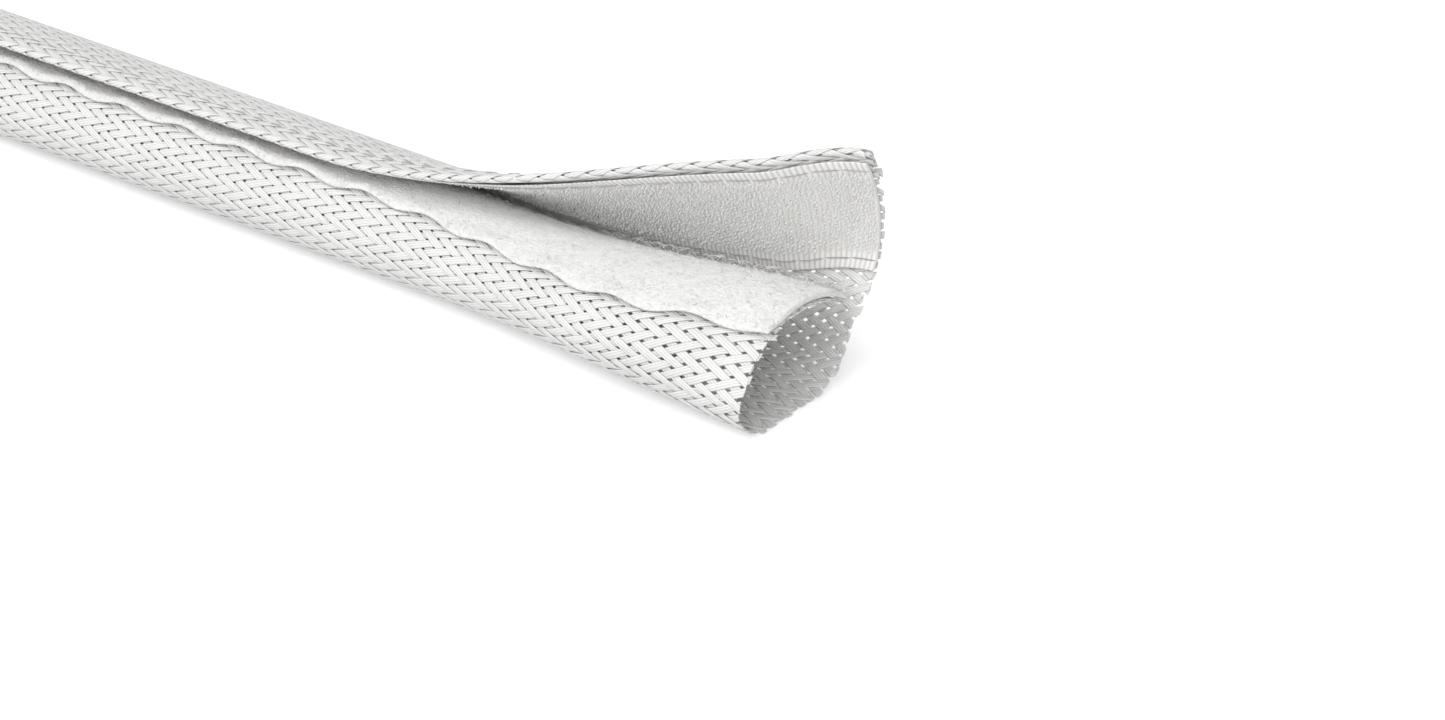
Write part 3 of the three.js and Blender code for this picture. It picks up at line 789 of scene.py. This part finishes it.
def make_hook_tree():
    t = Tree("tape_hooks", CLOTH_INPUTS + (
        ("Height", "Float", 0.8 * MM), ("Thread", "Float", 0.09 * MM), ("Jitter", "Float", 0.12 * MM)))
    spots = t.add("GeometryNodeMeshToPoints", {"Mesh": t.inputs["Geometry"]})[0]
    shift = t.scaled(t.between((-1, -1, 0), (1, 1, 0), 21, "FLOAT_VECTOR"), t.inputs["Jitter"])
    spots = t.add("GeometryNodeSetPosition", {"Geometry": spots, "Offset": shift})[0]
    h = t.inputs["Height"]
    down = t.math("MULTIPLY", h, -1.35)
    hook = t.add("GeometryNodeCurvePrimitiveBezierSegment", {
        "Resolution": 4, "Start": (0, 0, 0), "Start Handle": t.vector(0.0, 0.0, down),
        "End Handle": t.vector(0.0, t.math("MULTIPLY", h, 0.75), down),
        "End": t.vector(0.0, t.math("MULTIPLY", h, 0.62), t.math("MULTIPLY", h, -0.35))})[0]
    ring = t.add("GeometryNodeCurvePrimitiveCircle", {"Resolution": 3, "Radius": t.inputs["Thread"]})[0]
    hook = t.add("GeometryNodeCurveToMesh", {"Curve": hook, "Profile Curve": ring, "Fill Caps": True})[0]
    turn = t.between((-0.2, -0.2, -0.5), (0.2, 0.2, 0.5), 22, "FLOAT_VECTOR")
    size = t.between(0.8, 1.1, 23)
    placed = t.add("GeometryNodeInstanceOnPoints", {
        "Points": spots, "Instance": hook, "Rotation": turn, "Scale": size})[0]
    return t.finish(placed, hook_finish)


# %% Loops all over the nap, and longer ones along the tape's free edge
def strips_plan(name, *strips):
    """Flat strips along the whole tape, each from one distance around the cloth to another."""
    points, faces = [], []
    for low, high, lift in strips:
        faces.append(tuple(range(len(points), len(points) + 4)))
        points += [(x, q, lift) for x, q in
                   ((0.5, low), (LENGTH - 0.5, low), (LENGTH - 0.5, high), (0.5, high))]
    return flat_mesh(name, points, faces=faces)


LOOPS_PER_M2, WISPS_PER_M2 = 1.0e6, 7.0e6     # a square metre holds a million square millimetres
loop_tree = make_loop_tree()
loops = grow("loop_tape_loops", loop_tree, {
    "Radius": 0.36 * MM, "Thread": 0.032 * MM, "Turn": 4.2, "Count": LOOPS_PER_M2, "Seed": 5,
}, strips_plan("loops", (LIP_Q - TAPE + 0.5, LIP_Q - 0.1, PILE_TOP - 0.2)), pucker=SCALLOP)
wisps = grow("loop_tape_wisps", loop_tree, {
    "Radius": 1.15 * MM, "Thread": 0.045 * MM, "Turn": 2.4, "Count": WISPS_PER_M2, "Seed": 9,
}, strips_plan("wisps", (LIP_Q - TAPE, LIP_Q - TAPE + 1.0, PILE_TOP - 0.25)))

# %% Hooks in rows, clear of the sewn borders
ribs = np.arange(RIB, LENGTH - 0.5, RIB)
HOOK_PITCH = 0.66   # along a rib
field = np.arange(SELVEDGE, TAPE - SELVEDGE, HOOK_PITCH)
spots = [(x, HOOK_Q + q + HOOK_PITCH / 2 * (i % 2), -(GROUND_TOP - 0.1))
         for i, x in enumerate(ribs) for q in field]
hooks = grow("hook_tape_hooks", make_hook_tree(), {
    "Height": 0.6 * MM, "Thread": 0.12 * MM, "Jitter": 0.07 * MM}, flat_mesh("hooks", spots))


# %% [markdown]
# ## Sewing
# Each tape is held by two rows of straight stitches. A stitch is a short stretch of thread that
# bows out of the cloth and dives back in, so one bowed tube, repeated along the row, makes it. The
# hook tape's upper row also shows on the outside of the flap, through the hem.

# %% The tree that sews a row
HANDLE_OVER_BOW = 1.333     # a curve reaches three quarters of its handles' height


def make_stitch_tree(finish):
    t = Tree("sewn_row", CLOTH_INPUTS + (
        ("Stitch", "Float", 3.4 * MM), ("Gap", "Float", 0.5 * MM), ("Thread", "Float", 0.1 * MM),
        ("Bow", "Float", 0.25 * MM)))
    line = t.add("GeometryNodeMeshToCurve", {"Mesh": t.inputs["Geometry"]})[0]
    pitch = t.math("ADD", t.inputs["Stitch"], t.inputs["Gap"])
    spots = t.add("GeometryNodeCurveToPoints", {"Curve": line, "Length": pitch}, mode="LENGTH")["Points"]
    half = t.math("MULTIPLY", t.inputs["Stitch"], 0.5)
    back = t.math("MULTIPLY", half, -1.0)
    top = t.math("MULTIPLY", t.inputs["Bow"], HANDLE_OVER_BOW)
    stitch = t.add("GeometryNodeCurvePrimitiveBezierSegment", {
        "Resolution": 8, "Start": t.vector(back, 0.0, 0.0),
        "Start Handle": t.vector(t.math("MULTIPLY", back, 0.8), 0.0, top),
        "End Handle": t.vector(t.math("MULTIPLY", half, 0.8), 0.0, top),
        "End": t.vector(half, 0.0, 0.0)})[0]
    ring = t.add("GeometryNodeCurvePrimitiveCircle", {"Resolution": 8, "Radius": t.inputs["Thread"]})[0]
    ring = t.store(ring, "across", t.math("DIVIDE", t.parts(t.here())[0], t.inputs["Thread"]))
    stitch = t.add("GeometryNodeCurveToMesh", {
        "Curve": stitch, "Profile Curve": ring, "Fill Caps": True})[0]
    turn = t.between((0, 0, -0.06), (0, 0, 0.06), 31, "FLOAT_VECTOR")
    placed = t.add("GeometryNodeInstanceOnPoints", {
        "Points": spots, "Instance": stitch, "Rotation": turn})[0]
    return t.finish(placed, finish)


grey_row, white_row = make_stitch_tree(grey_thread), make_stitch_tree(white_thread)

# %% The five rows
SEAM_IN = 1.7                       # between a row and its tape's edge
SEAM_FROM, SEAM_TO = 2.2, LENGTH - 2.0
SUNK, SUNK_AT_LIP = 0.3, 0.5        # the white rows lie this deep in the pile


def sew(name, row, q, lift, bow, pucker=0.0, **sizes):
    """A row of stitches at the distance q around the cloth, all in millimetres but the sizes."""
    line = flat_mesh(name, [(SEAM_FROM, q, lift), (SEAM_TO, q, lift)], edges=[(0, 1)])
    return grow(name, row, dict(sizes, Bow=bow * MM), line, pucker)


seams = {
    "loop_tape_lip_seam": sew(
        "loop_lip_stitches", white_row, LIP_Q - SEAM_IN, PILE_TOP - SUNK_AT_LIP, 0.2, SCALLOP),
    "loop_tape_edge_seam": sew(
        "loop_edge_stitches", white_row, LIP_Q - TAPE + SEAM_IN, PILE_TOP - SUNK, 0.2),
    "hook_tape_lower_seam": sew(
        "hook_lower_stitches", grey_row, HOOK_Q + SEAM_IN, HOOK_FACE, -0.22),
    "hook_tape_upper_seam": sew(
        "hook_upper_stitches", grey_row, HOOK_Q + TAPE - SEAM_IN, HOOK_FACE, -0.22),
}
hem_stitches = sew("hem_stitches", grey_row, FAR + FOLD + FOLD_EDGE + SEAM_IN, -WALL / 2 + 0.08, -0.16,
                   Stitch=2.2 * MM, Gap=1.7 * MM, Thread=0.09 * MM)

# %% [markdown]
# ## Riding on the body
# The solids of the frame stay for collision; here each is replaced by the detailed piece, and every piece
# rides on the root body.

# %% Riding and replacing
pieces = [*braid, loop_nap, loops, wisps, hook_ground, hooks, *seams.values(), hem_stitches]
slots = ["braid"] * 2 + ["loop_pile"] * 3 + ["hook_pile"] * 2 + ["thread"] * 5
for piece, slot in zip(pieces, slots):
    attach(piece, "root")
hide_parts("braided_sleeve")
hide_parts("loop_tape")
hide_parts("hook_tape")
for node, stitches in seams.items():
    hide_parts(node)
bpy.data.objects.remove(cloth_form)


# %% [markdown]
# ## Floor, light and camera
# The sleeve lies on a white floor in soft light from above and from the front. Two large round
# lamps give the soft shade, and the world fills the rest and is white to the camera.

# %% Floor
FLOOR_GLOW = 0.4    # for the camera alone: it turns the floor white and leaves a pale shadow


def make_floor():
    size = 30.0
    corners = [(-size, -size, 0), (size, -size, 0), (size, size, 0), (-size, size, 0)]
    mesh = bpy.data.meshes.new("floor")
    mesh.from_pydata(corners, [], [(0, 1, 2, 3)])
    floor = bpy.data.objects.new("floor", mesh)
    floor.location.z = -0.0001
    bpy.context.scene.collection.objects.link(floor)
    material = bpy.data.materials.new("white_floor")
    material.use_nodes = True
    n = Nodes(material.node_tree)
    shader = material.node_tree.nodes["Principled BSDF"]
    shader.inputs["Base Color"].default_value = (0.9, 0.9, 0.9, 1)
    shader.inputs["Roughness"].default_value = 1.0
    shader.inputs["Specular IOR Level"].default_value = 0.0
    shader.inputs["Emission Color"].default_value = (1, 1, 1, 1)
    seen = n.add("ShaderNodeLightPath")["Is Camera Ray"]
    n.tree.links.new(n.math("MULTIPLY", seen, FLOOR_GLOW), shader.inputs["Emission Strength"])
    mesh.materials.append(material)


make_floor()


# %% World and lamps
FILL = 0.46     # strength of the light that comes from all sides


def make_world():
    world = bpy.data.worlds.new("studio")
    bpy.context.scene.world = world
    world.use_nodes = True
    n = Nodes(world.node_tree)
    background = world.node_tree.nodes["Background"]
    path = n.add("ShaderNodeLightPath")
    reflected = n.math("MAXIMUM", path["Is Glossy Ray"], path["Is Transmission Ray"])
    seen = n.math("MAXIMUM", path["Is Camera Ray"], reflected)
    n.tree.links.new(n.mapped(seen, 0.0, 1.0, FILL, 1.0), background.inputs["Strength"])
    background.inputs["Color"].default_value = (1, 1, 1, 1)


def lamp(name, place, aim, size, power):
    data = bpy.data.lights.new(name, "AREA")
    data.shape, data.size, data.energy = "DISK", size, power
    light = bpy.data.objects.new(name, data)
    light.location = place
    light.rotation_euler = (Vector(aim) - Vector(place)).to_track_quat("-Z", "Y").to_euler()
    bpy.context.scene.collection.objects.link(light)


make_world()
lamp("key", (-0.1, -0.5, 1.0), (0, 0, 0), 1.0, 6.2)
lamp("front", (0.6, -0.9, 0.65), (0, 0, 0), 0.7, 5.2)

# %% Camera, at the photograph's angle
camera_data = bpy.data.cameras.new("camera")
camera_data.lens, camera_data.sensor_width = 96.18, 36.0
camera_data.clip_start, camera_data.clip_end = 0.01, 20
camera = bpy.data.objects.new("camera", camera_data)
camera.location = (0.42148, -0.39652, 0.26772)
camera.rotation_euler = Vector((-0.54653, 0.69687, -0.46442)).to_track_quat("-Z", "Y").to_euler()
bpy.context.scene.collection.objects.link(camera)
bpy.context.scene.camera = camera
bpy.context.scene.view_settings.view_transform = "Standard"
